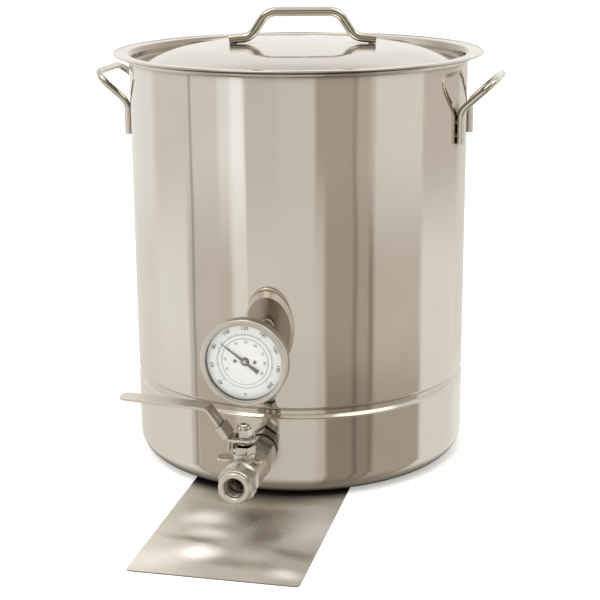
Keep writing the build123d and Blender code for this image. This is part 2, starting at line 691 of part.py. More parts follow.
with BuildPart() as thermometer_case:
    turned(
        DIAL_Z,
        [
            (PROBE_R + 0.05, CASE_BACK_Y - 1),
            (12.0, CASE_BACK_Y - 1),
            (13.0, CASE_BACK_Y),
            (CASE_R - 6.5, CASE_BACK_Y),
            (CASE_R - 1.4, CASE_BACK_Y + 4),
            (CASE_R - 1.4, LENS_Y - GASKET_RING_T - 0.2),
            (CASE_R - 1.4 - CASE_T, LENS_Y - GASKET_RING_T - 0.2),
            (CASE_R - 1.4 - CASE_T, CASE_BACK_Y + 4.3),
            (CASE_R - 6.8, CASE_BACK_Y + CASE_T),
            (PROBE_R + 0.05, CASE_BACK_Y + CASE_T),
        ],
    )

with BuildPart() as thermometer_bezel:
    with BuildSketch(Plane.XY.offset(DIAL_Z)):
        with BuildLine():
            Polyline(
                (WINDOW_R, -(LENS_Y + LENS_T)),
                (CASE_R - 1.3, -(LENS_Y + LENS_T)),
                (CASE_R - 1.3, -(LENS_Y - 8)),
                (CASE_R, -(LENS_Y - 8)),
                (CASE_R, -(BEZEL_FRONT_Y - 2.6)),
            )
            ThreePointArc(
                (CASE_R, -(BEZEL_FRONT_Y - 2.6)),
                ((CASE_R + WINDOW_R) / 2 + 0.4, -BEZEL_FRONT_Y),
                (WINDOW_R, -(LENS_Y + LENS_T + 0.6)),
            )
            Line((WINDOW_R, -(LENS_Y + LENS_T + 0.6)), (WINDOW_R, -(LENS_Y + LENS_T)))
        make_face()
    revolve(axis=Axis((0, 0, DIAL_Z), (0, -1, 0)))

with BuildPart() as thermometer_lens:
    turned(DIAL_Z, ring_outline(0, CASE_R - 1.5, LENS_Y, LENS_Y + LENS_T))

with BuildPart() as thermometer_gasket:
    turned(DIAL_Z, ring_outline(WINDOW_R - 0.2, CASE_R - 1.5, LENS_Y - GASKET_RING_T, LENS_Y))

POST_X = 9.3
POST_R = 1.1
POST_HEAD_R = 1.6

with BuildPart() as thermometer_dial:
    turned(DIAL_Z, ring_outline(4.2, DIAL_R, DIAL_PLATE_Y - DIAL_T, DIAL_PLATE_Y))
    with BuildSketch(facing_out(DIAL_Z, DIAL_PLATE_Y - 2)):
        with Locations((-POST_X, 0), (POST_X, 0)):
            Circle(POST_R + 0.05)
    extrude(amount=4, mode=Mode.SUBTRACT)

with BuildPart() as thermometer_dial_posts:
    with BuildSketch(facing_out(DIAL_Z, CASE_BACK_Y + CASE_T)):
        with Locations((-POST_X, 0), (POST_X, 0)):
            Circle(POST_R)
    extrude(amount=DIAL_PLATE_Y - CASE_BACK_Y - CASE_T + 0.1)
    with BuildSketch(facing_out(DIAL_Z, DIAL_PLATE_Y)):
        with Locations((-POST_X, 0), (POST_X, 0)):
            Circle(POST_HEAD_R)
    extrude(amount=0.5)

SHAFT_R = 0.9
NEEDLE_Y = DIAL_PLATE_Y + 1.3
NEEDLE_T = 0.4
NEEDLE_ANGLE = 54.0       # from straight up, towards -X

with BuildPart() as thermometer_shaft:
    turned(DIAL_Z, ring_outline(0, SHAFT_R, PROBE_TIP_Y + 18, NEEDLE_Y))

with BuildPart() as thermometer_coil:
    turned(DIAL_Z, ring_outline(SHAFT_R + 0.1, 2.0, PROBE_TIP_Y + 14, PROBE_TIP_Y + 50))

needle_plane = Plane(
    origin=(0, -NEEDLE_Y, DIAL_Z),
    x_dir=(-sin(radians(NEEDLE_ANGLE)), 0, cos(radians(NEEDLE_ANGLE))),
    z_dir=(0, -1, 0),
)

with BuildPart() as thermometer_pointer:
    with BuildSketch(needle_plane):
        with BuildLine():
            Polyline((0, 1.15), (27.5, 0.25), (27.5, -0.25), (0, -1.15), close=True)
        make_face()
        with BuildLine():
            Polyline((0, 1.0), (-10.5, 1.4), (-15.5, 2.2), (-15.5, -2.2), (-10.5, -1.4), (0, -1.0), close=True)
        make_face()
        Circle(2.9)
    extrude(amount=NEEDLE_T)
    with BuildSketch(needle_plane.offset(NEEDLE_T)):
        Circle(1.7)
    extrude(amount=0.7)

# ---- write one file per piece --------------------------------------------------------------------------
pieces = {
    "kettle_shell": kettle_shell,
    "handle_right": handle_right,
    "handle_left": handle_left,
    "handle_welds": handle_welds,
    "lid": lid,
    "lid_handle": lid_handle,
    "lid_handle_welds": lid_handle_welds,
    "false_bottom": false_bottom,
    "heat_plate": heat_plate,
    "valve_wall_gasket": valve_wall_gasket,
    "valve_outer_washer": valve_outer_washer,
    "valve_inner_washer": valve_inner_washer,
    "valve_locknut": valve_locknut,
    "valve_bulkhead": valve_bulkhead,
    "valve_end_cap": valve_end_cap,
    "valve_body": valve_body,
    "valve_body_seal": valve_body_seal,
    "valve_seats": valve_seats,
    "valve_ball": valve_ball,
    "valve_stem": valve_stem,
    "valve_stem_packing": valve_stem_packing,
    "valve_gland_nut": valve_gland_nut,
    "valve_spring_washers": valve_spring_washers,
    "valve_lever": valve_lever,
    "lever_lock": lever_lock,
    "lever_washer": lever_washer,
    "lever_nut": lever_nut,
    "thermometer_wall_gasket": thermometer_wall_gasket,
    "thermometer_outer_washer": thermometer_outer_washer,
    "thermometer_inner_washer": thermometer_inner_washer,
    "thermometer_locknut": thermometer_locknut,
    "thermometer_nipple": thermometer_nipple,
    "thermometer_coupler": thermometer_coupler,
    "thermometer_fitting": thermometer_fitting,
    "thermometer_probe": thermometer_probe,
    "thermometer_case": thermometer_case,
    "thermometer_bezel": thermometer_bezel,
    "thermometer_lens": thermometer_lens,
    "thermometer_gasket": thermometer_gasket,
    "thermometer_dial": thermometer_dial,
    "thermometer_dial_posts": thermometer_dial_posts,
    "thermometer_shaft": thermometer_shaft,
    "thermometer_coil": thermometer_coil,
    "thermometer_pointer": thermometer_pointer,
}

os.makedirs("parts", exist_ok=True)
for name, piece in pieces.items():
    piece.part.label = name
    export_step(piece.part, f"parts/{name}.step")
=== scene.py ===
"""Looks of the brew kettle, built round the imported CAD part.

Units are metres in the CAD frame: the origin is the centre of the kettle's flat base, +Z is up,
and the valve, the thermometer and the front of the heat plate face -Y.
"""
import json
import math

import bmesh
import bpy
from mathutils import Matrix, Vector


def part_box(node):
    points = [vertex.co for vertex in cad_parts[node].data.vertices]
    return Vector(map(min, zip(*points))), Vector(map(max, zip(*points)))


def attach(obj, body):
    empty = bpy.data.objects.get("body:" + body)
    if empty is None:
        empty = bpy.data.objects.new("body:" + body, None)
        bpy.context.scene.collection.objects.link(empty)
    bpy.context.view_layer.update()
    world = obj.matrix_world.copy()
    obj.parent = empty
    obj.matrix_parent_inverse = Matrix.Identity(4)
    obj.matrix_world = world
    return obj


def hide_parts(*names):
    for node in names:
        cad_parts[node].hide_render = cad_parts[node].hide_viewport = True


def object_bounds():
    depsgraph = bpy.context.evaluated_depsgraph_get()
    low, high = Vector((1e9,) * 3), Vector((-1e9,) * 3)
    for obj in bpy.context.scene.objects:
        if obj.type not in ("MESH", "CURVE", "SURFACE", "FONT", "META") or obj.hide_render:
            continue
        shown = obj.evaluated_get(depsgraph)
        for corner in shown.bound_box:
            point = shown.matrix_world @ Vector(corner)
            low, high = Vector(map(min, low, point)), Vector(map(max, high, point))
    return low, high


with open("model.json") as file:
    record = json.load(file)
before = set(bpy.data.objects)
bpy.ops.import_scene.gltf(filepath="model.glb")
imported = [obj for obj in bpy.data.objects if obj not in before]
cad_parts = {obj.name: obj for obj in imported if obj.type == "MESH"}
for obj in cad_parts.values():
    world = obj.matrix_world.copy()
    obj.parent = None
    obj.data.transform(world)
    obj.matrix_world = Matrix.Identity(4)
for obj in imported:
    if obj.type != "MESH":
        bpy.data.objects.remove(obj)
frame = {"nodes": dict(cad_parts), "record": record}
cad_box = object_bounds()

MM = 0.001

# ---- camera ----------------------------------------------------------------------------------------------
CAMERA_AZIMUTH = math.radians(13.0)
CAMERA_DISTANCE = 1.5233
CAMERA_HEIGHT = 0.5687
CAMERA_PITCH = math.radians(15.36)
CAMERA_ROLL = -0.0064
CAMERA_LENS = 90.8
CAMERA_SENSOR = 36.0

# ---- studio panels: directions are in degrees from the front (-Y) towards +X -----------------------------
LOW_PANELS = [
    # seen in the wall: from, to, brightness near its top, half-way, near its foot
    (-180, -105, 0.84, 0.77, 0.74),
    (-98, -70, 0.69, 0.82, 0.76),
    (-67.5, -62.5, 0.69, 0.60, 0.56),
    (-61, -43, 0.71, 0.59, 0.48),
    (-41, -35, 0.84, 0.57, 0.46),
    (-32, -25.5, 1.02, 0.78, 0.60),
    (-23, -2, 0.62, 0.68, 0.62),
    (0, 23, 0.65, 0.67, 0.63),
    (24.5, 29, 0.42, 0.63, 0.56),
    (31, 48.5, 0.42, 0.39, 0.28),
    (49.5, 51.4, 0.34, 0.26, 0.17),
    (52.4, 60, 0.50, 0.42, 0.29),
    (61, 63, 0.58, 0.26, 0.22),
    (65, 103, 0.74, 0.56, 0.42),
    (106, 148, 0.58, 0.79, 0.77),
    (155, 180, 0.70, 0.74, 0.84),
]
PANEL_RED = 1.07
PANEL_TINTS = [
    # brightness, then green and blue as parts of red
    (0.25, 0.845, 0.68),
    (0.45, 0.875, 0.74),
    (0.90, 1.01, 0.98),
]
HIGH_PANELS = [
    # seen in the lid, rods and bead: from, to, warmth, near the horizon, half-way up, overhead
    (-180, -125, 0.04, 0.94, 0.90, 0.70),
    (-116, -80, 0.06, 0.84, 0.80, 0.70),
    (-72, -54, 0.14, 0.50, 0.28, 0.80),
    (-48, -15, 0.12, 0.36, 0.18, 2.10),
    (-8, 48, 0.15, 0.28, 0.13, 0.62),
    (58, 96, 0.10, 0.45, 0.26, 1.70),
    (104, 135, 0.06, 0.84, 0.80, 0.80),
    (144, 180, 0.04, 0.94, 0.90, 0.70),
]
# the upright part of a direction, from where to where one level passes into the next
TOP_TO_MIDDLE = (-0.25, -0.165)
MIDDLE_TO_FOOT = (-0.335, -0.28)
FOOT_TO_FLOOR = (-0.99, -0.55)
LOW_TO_HIGH = (-0.06, 0.06)
NEAR_TO_HALFWAY = (0.12, 0.24)
HALFWAY_TO_OVER = (0.50, 0.72)

PANEL_GAP = math.radians(-64.0)      # a narrow dark gap between two panels
PANEL_GAP_HALF = math.radians(1.7)
PANEL_GAP_LIGHT = 0.50               # what is left of the panels' light in its middle

# shades of the floor that only reflections show: brightness, warmth
FLOOR_SHADE = (0.17, 0.2)
DEEP_SHADE = (0.03, 0.2)
FOOT_LIGHT = (0.22, 0.16)

# the floor round the kettle's foot: it lightens outwards, then fades away up to its rim
FOOT_LIGHTENS = (0.149, 0.170)
FOOT_FADES = 0.160
FOOT_RIM = 0.180

FLOOR_HALF = 20.0
FLOOR_DROP = 0.0003                  # how far the floor lies below the lowest face
FLOOR_GLOW = 0.42
LAMPS = [
    # name, place, aim, width, power
    ("overhead", (-0.5, -0.5, 3.0), (0, 0, 0.1), 3.2, 62.0),
    ("front_fill", (-0.7, -2.4, 1.3), (0, -0.2, 0.15), 1.4, 15.0),
]

# ---- where finishes change -------------------------------------------------------------------------------
WALL_MIDDLE_R = 0.1682               # half-way through the kettle's wall
BASE_CORNER_TOP = 0.0215
BEAD_MIDDLE = 0.0848
BEAD_REACH = 0.0075

# painted shade in the lid's channel, darkest at its two sides: radius, distance from the middle and height
CHANNEL_INNER = (0.152, 0.157)
CHANNEL_OUTER = (0.1685, 0.1725)
CHANNEL_SIDE = (0.085, 0.135)
LID_TOP = 0.4093                     # upper face of the lid's flange
LID_TOP_BLEND = 0.0008
CHANNEL_SHARE = 0.8
# painted shade under the rolled edge, where its normal faces down
UNDERSIDE = (-0.75, -0.15)           # the upright part of the normal under the rolled edge
UNDERSIDE_SHARE = 0.85

# ---- finishes --------------------------------------------------------------------------------------------
STEEL = (0.79, 0.75, 0.695, 1.0)
CASE_STEEL = (0.88, 0.83, 0.785, 1.0)
CAST_STEEL = (0.86, 0.81, 0.75, 1.0)
LEVER_STEEL = (0.91, 0.855, 0.80, 1.0)
WELD_STEEL = (0.42, 0.37, 0.31, 1.0)
POST_STEEL = (0.16, 0.15, 0.14, 1.0)
# painted highlight on the edges
EDGE_HIGHLIGHT = (0.90, 0.87, 0.82, 1.0)
# painted shade: the colour that steel darkens to where other surfaces come near
CREVICE_SHADE = (0.17, 0.135, 0.10, 1.0)
# colour of the painted shade in the lid's channel
CHANNEL_SHADE = (0.34, 0.275, 0.215, 1.0)
AROUND = (1, 1, 60)                  # stretches the grain into lines round the kettle
INSIDE_ROUGHER = 0.26                # the brushed inner wall, against the polished outside
INSIDE_DULLER = 0.45

PLATE_SATIN = (0.78, 0.735, 0.675, 1.0)
# colour of the painted sheen on the heat plate
PLATE_SHEEN = (1.0, 0.99, 0.975, 1.0)
# colour of the painted dark reflections and shade on the heat plate
PLATE_PAINTED_DARK = (0.50, 0.455, 0.39, 1.0)
# painted shadow on the heat plate where other parts come near
PLATE_CONTACT_SHADOW = (0.035, 0.035, 0.038, 1.0)
PLATE_BEND = 0.03                    # how far noise pushes the outlines of its patches
# painted sheen in patches and painted dark streaks of the heat plate: x, y, half length, half width (mm),
# degrees, strength
PLATE_SHEEN_PATCHES = [
    (-37, -232, 34, 26, 20, 1.0),
    (-24, -262, 30, 16, -10, 0.7),
    (-22, -303, 30, 24, 0, 0.95),
    (62, -338, 30, 16, 10, 0.6),
    (-48, -320, 60, 34, 30, 0.35),
    (68, -235, 34, 60, 0, 0.35),
]
# painted dark reflections in streaks
PLATE_PAINTED_DARK_PATCHES = [
    (10, -212, 34, 42, 0, 1.0),
    (26, -262, 24, 52, -15, 0.8),
    (-42, -278, 46, 9, -10, 0.65),
    (60, -292, 46, 14, -14, 0.45),
    (18, -322, 40, 18, -8, 0.6),
    # painted shade along the kettle's foot
    (2, -180, 90, 16, 0, 0.8),
]
FINISH_BY_NODE = {
    "heat_plate": "plate_steel",
    # the thermometer's outer washer takes the seals' near-black colour as a painted dark reflection; the
    # gaskets are dark seals
    "thermometer_outer_washer": "dark_seal_and_reflection",
    "thermometer_wall_gasket": "dark_seal_and_reflection",
    "valve_wall_gasket": "dark_seal_and_reflection",
    "valve_outer_washer": "case_steel",
    "thermometer_dial_posts": "post_steel",
    "lever_lock": "lock_steel",
}

# ---- dial ------------------------------------------------------------------------------------------------
INK_T = 0.00003
INK_WEIGHT = 0.026                   # how much bolder than the plain letter, as a share of its size
INK_GAP = 0.00001
DIAL_STEPS = 160
DIAL_CIRCLES = [
    # radius, width
    (0.0252, 0.00042),
    (0.0220, 0.00036),
]
FAHRENHEIT = (40, 200)
CELSIUS = (5, 93)                    # the whole degrees within that range
DIAL_SWEEP = 264.0                   # degrees from the lowest reading to the highest
NUMBER_STEP = 20
OUTER_NUMBERS = (0.0313, 0.0049)     # radius, size
INNER_NUMBERS = (0.0184, 0.0034)
NUMBER_MARK = (0.0254, 0.0281, 0.0005)     # inner radius, outer radius, width
FOOT_MARK = (0.0301, 0.0319, 0.0016)
OUTER_TICKS = (0.0254, 0.0024, 0.0015, 0.00040)     # start radius, long, short, width
INNER_TICKS = (0.0220, 0.0019, 0.0011, 0.00032)     # end radius, long, short, width
# the ring is black rubber and also painted shadow under the bezel's inner edge
DIAL_WALL = (0.03562, 0.03640)       # radii of the dark ring between dial and glass
DIAL_WALL_GAPS = (0.00005, 0.00003)  # to the dial and to the glass

# the bezel's front, from its window to its outer edge: mm from the outer edge, mm behind the front
BEZEL_FRONT = [
    (-5.10, 1.15),
    (-5.10, 0.85),
    (-4.85, 0.62),
    (-4.30, 0.46),
    (-2.60, 0.16),
    (-1.50, 0.02),
    (-0.95, 0.10),
    (-0.50, 0.36),
    (-0.18, 0.80),
    (0.0, 1.40),
]
BEZEL_EDGE = 0.0004
BEZEL_SHEET = 0.0013
BEZEL_LIP = 0.0012
BEZEL_STEPS = 192

# the pointer's cap: radius, distance in front of the pointer, mm
CAP_OUTLINE = [
    (0.0, -0.2),
    (1.9, -0.2),
    (1.9, 0.0),
    (1.4, 0.3),
    (0.5, 0.42),
    (0.0, 0.42),
]
CAP_STEPS = 40

# ---- outlet thread ---------------------------------------------------------------------------------------
THREAD_START = 0.0135                # behind the outlet's end
THREAD_END = 0.0022
THREAD_ROOT = 0.00934
THREAD_CREST = 0.00835
THREAD_PITCH = 0.00181
THREAD_STEPS = 48                    # for each turn
THREAD_FILL = 0.42                   # half the ridge's width at its root, in pitches
THREAD_FLAT = 0.2                    # half its width at its crest, as a share of that
THREAD_FADE = 0.4                    # the ridge rises from the bore over this part of a turn


def make_camera():
    """The view of the object."""
    data = bpy.data.cameras.new("camera")
    data.lens = CAMERA_LENS
    data.sensor_width = CAMERA_SENSOR
    data.clip_start = 0.05
    data.clip_end = 60.0
    camera = bpy.data.objects.new("camera", data)
    bpy.context.scene.collection.objects.link(camera)
    camera.location = (
        CAMERA_DISTANCE * math.sin(CAMERA_AZIMUTH),
        -CAMERA_DISTANCE * math.cos(CAMERA_AZIMUTH),
        CAMERA_HEIGHT,
    )
    turn = Matrix.Rotation(CAMERA_AZIMUTH, 4, "Z")
    tilt = Matrix.Rotation(math.pi / 2 - CAMERA_PITCH, 4, "X")
    roll = Matrix.Rotation(CAMERA_ROLL, 4, "Z")
    camera.rotation_mode = "QUATERNION"
    camera.rotation_quaternion = (turn @ tilt @ roll).to_quaternion()
    bpy.context.scene.camera = camera


# ---- node helpers ----------------------------------------------------------------------------------------
class Graph:
    """A material's or world's node tree, with short calls for the nodes used here."""

    def __init__(self, tree):
        self.tree = tree
        tree.nodes.clear()

    def node(self, kind, **settings):
        made = self.tree.nodes.new(kind)
        for key, value in settings.items():
            setattr(made, key, value)
        return made

    def link(self, source, target):
        self.tree.links.new(source, target)

    def feed(self, socket, value):
        """Set a socket to a number, or link it to another node's output."""
        if isinstance(value, bpy.types.NodeSocket):
            self.link(value, socket)
        else:
            socket.default_value = value

    def math(self, operation, *values):
        made = self.node("ShaderNodeMath", operation=operation)
        for socket, value in zip(made.inputs, values):
            self.feed(socket, value)
        return made.outputs[0]

    def vector(self, operation, *values):
        """The vector maths node, whose inputs are vectors or other nodes' outputs."""
        made = self.node("ShaderNodeVectorMath", operation=operation)
        for socket, value in zip(made.inputs, values):
            self.feed(socket, value)
        return made.outputs["Value" if operation in ("LENGTH", "DOT_PRODUCT") else "Vector"]

    def spread(self, value, low, high, to_low=0.0, to_high=1.0, smooth=False):
        made = self.node("ShaderNodeMapRange")
        made.interpolation_type = "SMOOTHSTEP" if smooth else "LINEAR"
        self.feed(made.inputs["Value"], value)
        made.inputs["From Min"].default_value = low
        made.inputs["From Max"].default_value = high
        made.inputs["To Min"].default_value = to_low
        made.inputs["To Max"].default_value = to_high
        return made.outputs["Result"]

    def mix(self, factor, a, b):
        made = self.node("ShaderNodeMix", data_type="RGBA")
        self.feed(made.inputs["Factor"], factor)
        self.feed(made.inputs["A"], a)
        self.feed(made.inputs["B"], b)
        return made.outputs["Result"]

    def ramp(self, value, stops):
        made = self.node("ShaderNodeValToRGB")
        self.feed(made.inputs["Fac"], value)
        elements = made.color_ramp.elements
        elements[0].position, elements[0].color = stops[0]
        elements[1].position, elements[1].color = stops[-1]
        for position, colour in stops[1:-1]:
            elements.new(position).color = colour
        return made.outputs["Color"]

    def position(self):
        """Object coordinates, which are the CAD frame's on every body at rest."""
        return self.node("ShaderNodeTexCoord").outputs["Object"]

    def height(self):
        return self.axes(self.position())["Z"]

    def axes(self, vector):
        made = self.node("ShaderNodeSeparateXYZ")
        self.link(vector, made.inputs[0])
        return made.outputs

    def from_axis(self):
        """Distance from the kettle's upright axis."""
        return self.vector("LENGTH", self.vector("MULTIPLY", self.position(), (1, 1, 0)))

    def openness(self, distance):
        """1 in the open, and less where other surfaces are nearer than distance."""
        made = self.node("ShaderNodeAmbientOcclusion", samples=8)
        made.inputs["Distance"].default_value = distance
        return made.outputs["AO"]

    def place(self, scale=(1, 1, 1)):
        """Object coordinates, stretched by scale."""
        made = self.node("ShaderNodeMapping")
        self.link(self.position(), made.inputs["Vector"])
        made.inputs["Scale"].default_value = scale
        return made.outputs["Vector"]

    def noise(self, vector, scale, detail):
        made = self.node("ShaderNodeTexNoise")
        self.link(vector, made.inputs["Vector"])
        made.inputs["Scale"].default_value = scale
        made.inputs["Detail"].default_value = detail
        made.inputs["Roughness"].default_value = 0.55
        return made.outputs["Fac"]

    def bump(self, height, distance, normal=None):
        made = self.node("ShaderNodeBump")
        made.inputs["Distance"].default_value = distance
        self.link(height, made.inputs["Height"])
        if normal is not None:
            self.link(normal, made.inputs["Normal"])
        return made.outputs["Normal"]

    def surface(self, **inputs):
        shader = self.node("ShaderNodeBsdfPrincipled")
        for key, value in inputs.items():
            self.feed(shader.inputs[key.replace("_", " ")], value)
        self.finish("ShaderNodeOutputMaterial", shader)

    def finish(self, kind, shader):
        out = self.node(kind)
        self.link(shader.outputs[0], out.inputs["Surface"])


def material(name):
    made = bpy.data.materials.new(name)
    made.use_nodes = True
    return made, Graph(made.node_tree)


def grey(value, warmth=0.0):
    """A colour of that brightness, with red raised and blue lowered by warmth."""
    return (value * (1 + warmth * 0.5), value, value * (1 - warmth), 1.0)


def panel_colour(value):
    """A panel's colour: the darker it is, the redder."""
    green, blue = PANEL_TINTS[0][1:]
    for (low, low_green, low_blue), (high, high_green, high_blue) in zip(PANEL_TINTS, PANEL_TINTS[1:]):
        part = min(max((value - low) / (high - low), 0.0), 1.0)
        green += part * (high_green - low_green)
        blue += part * (high_blue - low_blue)
    red = value * PANEL_RED
    return (red, red * green, red * blue, 1.0)


# ---- studio ----------------------------------------------------------------------------------------------
def make_world():
    """Soft studio surround: upright panels low down, a backdrop above them and a dim floor far below."""
    world = bpy.data.worlds.new("studio")
    bpy.context.scene.world = world
    world.use_nodes = True
    g = Graph(world.node_tree)
    axes = g.axes(g.node("ShaderNodeTexCoord").outputs["Generated"])
    azimuth = g.math("ARCTAN2", axes["X"], g.math("MULTIPLY", axes["Y"], -1.0))
    turn = g.math("MULTIPLY_ADD", azimuth, 1 / math.tau, 0.5)

    def panels(rows, colours):
        """A ramp round the horizon from rows that start with (from degrees, to degrees) and their colours."""
        stops = []
        for (start, end, *_), colour in zip(rows, colours):
            stops.append(((start + 180) / 360 + 0.001, colour))
            stops.append(((end + 180) / 360 - 0.001, colour))
        return g.ramp(turn, stops)

    def pass_over(heights, below, above, smooth=True):
        return g.mix(g.spread(axes["Z"], *heights, smooth=smooth), below, above)

    top, middle, foot = (
        panels(LOW_PANELS, [panel_colour(row[2 + level]) for row in LOW_PANELS]) for level in range(3)
    )
    low = pass_over(TOP_TO_MIDDLE, middle, top)
    low = pass_over(MIDDLE_TO_FOOT, foot, low)
    from_gap = g.math("ABSOLUTE", g.math("SUBTRACT", azimuth, PANEL_GAP))
    low = g.mix(g.spread(from_gap, 0.0, PANEL_GAP_HALF, PANEL_GAP_LIGHT, 1.0), grey(*DEEP_SHADE), low)
    low = pass_over(FOOT_TO_FLOOR, grey(*FLOOR_SHADE), low, smooth=False)
    near, halfway, over = (
        panels(HIGH_PANELS, [grey(row[3 + level], row[2]) for row in HIGH_PANELS]) for level in range(3)
    )
    high = pass_over(NEAR_TO_HALFWAY, near, halfway)
    high = pass_over(HALFWAY_TO_OVER, high, over)
    around = pass_over(LOW_TO_HIGH, low, high)
    seen_directly = g.node("ShaderNodeLightPath").outputs["Is Camera Ray"]
    background = g.node("ShaderNodeBackground")
    g.link(g.mix(seen_directly, around, grey(1.0)), background.inputs["Color"])
    g.finish("ShaderNodeOutputWorld", background)


def area_lamp(name, place, aim, size, power):
    """A round soft light that isn't seen as a hard-edged disc in the steel."""
    data = bpy.data.lights.new(name, "AREA")
    data.shape = "DISK"
    data.size = size
    data.energy = power
    lamp = bpy.data.objects.new(name, data)
    bpy.context.scene.collection.objects.link(lamp)
    lamp.location = place
    lamp.rotation_euler = (Vector(aim) - lamp.location).to_track_quat("-Z", "Y").to_euler()
    lamp.visible_glossy = False


def stage_sheet(name, half, level, chosen):
    """A flat square of the surroundings at that height."""
    mesh = bpy.data.meshes.new(name)
    corners = [(-half, -half, level), (half, -half, level), (half, half, level), (-half, half, level)]
    mesh.from_pydata(corners, [], [(0, 1, 2, 3)])
    mesh.materials.append(chosen)
    sheet = bpy.data.objects.new(name, mesh)
    bpy.context.scene.collection.objects.link(sheet)
    return sheet


def make_foot_shade(level):
    """The dim floor round the kettle's foot, which only its reflection in the steel shows."""
    made, g = material("foot_shade")
    reach = g.from_axis()
    glow = g.node("ShaderNodeEmission")
    near = g.spread(reach, *FOOT_LIGHTENS, smooth=True)
    g.link(g.mix(near, grey(*DEEP_SHADE), grey(*FOOT_LIGHT)), glow.inputs["Color"])
    clear = g.node("ShaderNodeBsdfTransparent")
    blend = g.node("ShaderNodeMixShader")
    g.link(g.spread(reach, FOOT_FADES, FOOT_RIM, smooth=True), blend.inputs[0])
    g.link(glow.outputs[0], blend.inputs[1])
    g.link(clear.outputs[0], blend.inputs[2])
    g.finish("ShaderNodeOutputMaterial", blend)
    shade = stage_sheet("foot_shade", FOOT_RIM, level, made)
    shade.visible_camera = False
    shade.visible_diffuse = False
    shade.visible_shadow = False


def make_stage():
    level = cad_box[0].z - FLOOR_DROP
    made, g = material("floor_paper")
    g.surface(Base_Color=grey(0.86), Roughness=0.9, Emission_Color=grey(1.0), Emission_Strength=FLOOR_GLOW)
    floor = stage_sheet("floor", FLOOR_HALF, level, made)
    floor.visible_glossy = False
    make_foot_shade(level)
    for lamp in LAMPS:
        area_lamp(*lamp)
    bpy.context.scene.view_settings.view_transform = "Standard"


# ---- materials -------------------------------------------------------------------------------------------
def darker(colour, share):
    return tuple(c * share for c in colour[:3]) + (1.0,)


def channel_tint(g, tint):
    """Darken the lid's channel at its two sides and the underside of its rolled edge with painted shade."""
    reach = g.from_axis()
    ring = g.math(
        "MULTIPLY",
        g.spread(reach, *CHANNEL_OUTER, 1.0, 0.0, smooth=True),
        g.spread(reach, *CHANNEL_INNER, smooth=True),
    )
    across = g.math("ABSOLUTE", g.axes(g.position())["X"])
    side = g.spread(across, *CHANNEL_SIDE, smooth=True)
    below = g.spread(g.height(), LID_TOP - LID_TOP_BLEND, LID_TOP, 1.0, 0.0, smooth=True)
    patch = g.math("MULTIPLY", g.math("MULTIPLY", ring, side), below)
    facing = g.axes(g.node("ShaderNodeNewGeometry").outputs["Normal"])
    under = g.spread(facing["Z"], *UNDERSIDE, UNDERSIDE_SHARE, 0.0)
    return g.mix(g.math("MAXIMUM", g.math("MULTIPLY", patch, CHANNEL_SHARE), under), tint, CHANNEL_SHADE)


def inside_wall(g):
    """1 on the kettle's inner wall, whose finish is brushed, and 0 on its polished outside."""
    height = g.height()
    within = g.math("LESS_THAN", g.from_axis(), WALL_MIDDLE_R)
    over_corner = g.math("GREATER_THAN", height, BASE_CORNER_TOP)
    from_bead = g.math("ABSOLUTE", g.math("SUBTRACT", height, BEAD_MIDDLE))
    off_bead = g.math("GREATER_THAN", from_bead, BEAD_REACH)
    return g.math("MULTIPLY", g.math("MULTIPLY", within, over_corner), off_bead)


def worn_edges(g, radius, tint, roughness):
    """Soften the edges to that radius, and make them smoother than the faces and brighter with a painted
    highlight.
    """
    rounded = g.node("ShaderNodeBevel", samples=6)
    rounded.inputs["Radius"].default_value = radius
    normal = rounded.outputs["Normal"]
    likeness = g.vector("DOT_PRODUCT", normal, g.node("ShaderNodeNewGeometry").outputs["Normal"])
    edge_glint = g.spread(likeness, 0.86, 0.985, 0.6, 0.0)
    tint = g.mix(edge_glint, tint, EDGE_HIGHLIGHT)
    roughness = g.math("MULTIPLY", roughness, g.spread(edge_glint, 0.0, 1.0, 1.0, 0.75))
    return normal, tint, roughness


def steel(
    name,
    colour=STEEL,
    rough=0.12,
    spread=0.03,
    brushed=(1, 1, 1),
    grain=400.0,
    depth=0.0,
    waves=0.0,
    flow=(1, 1, 1),
    edge=0.0,
    crevice=0.0,
    channel=False,
    brushed_inside=False,
):
    """Stainless steel: cloudy sheen, polishing lines, gentle unevenness and edges with a painted highlight.

    brushed stretches the polishing lines and depth is how deep they are; waves is the depth of the
    unevenness and flow stretches it; edge is the radius of softened edges; crevice is how near another
    surface has to be for painted shade to darken the steel.
    """
    made, g = material(name)
    fine = g.noise(g.place(brushed), grain, 3.0)
    broad = g.noise(g.place(), 11.0, 4.0)
    cloud = g.spread(broad, 0.35, 0.65, -0.4 * spread, 0.4 * spread)
    roughness = g.math("ADD", g.spread(fine, 0.3, 0.7, rough - spread, rough + spread), cloud)
    tint = g.mix(g.spread(broad, 0.3, 0.7), colour, darker(colour, 0.955))
    metallic = 1.0
    normal = None
    if crevice:
        # painted shade in crevices: darker where another surface is nearer than crevice
        tint = g.mix(g.spread(g.openness(crevice), 0.35, 0.92), CREVICE_SHADE, tint)
    if channel:
        tint = channel_tint(g, tint)
    if edge:
        normal, tint, roughness = worn_edges(g, edge, tint, roughness)
    if depth:
        normal = g.bump(fine, depth, normal)
    if waves:
        normal = g.bump(g.noise(g.place(flow), 14.0, 1.5), waves, normal)
    if brushed_inside:
        inside = inside_wall(g)
        roughness = g.math("MULTIPLY_ADD", inside, INSIDE_ROUGHER, roughness)
        metallic = g.math("MULTIPLY_ADD", inside, -INSIDE_DULLER, 1.0)
    inputs = {"Base_Color": tint, "Roughness": roughness, "Metallic": metallic}
    if normal is not None:
        inputs["Normal"] = normal
    g.surface(**inputs)
    return made


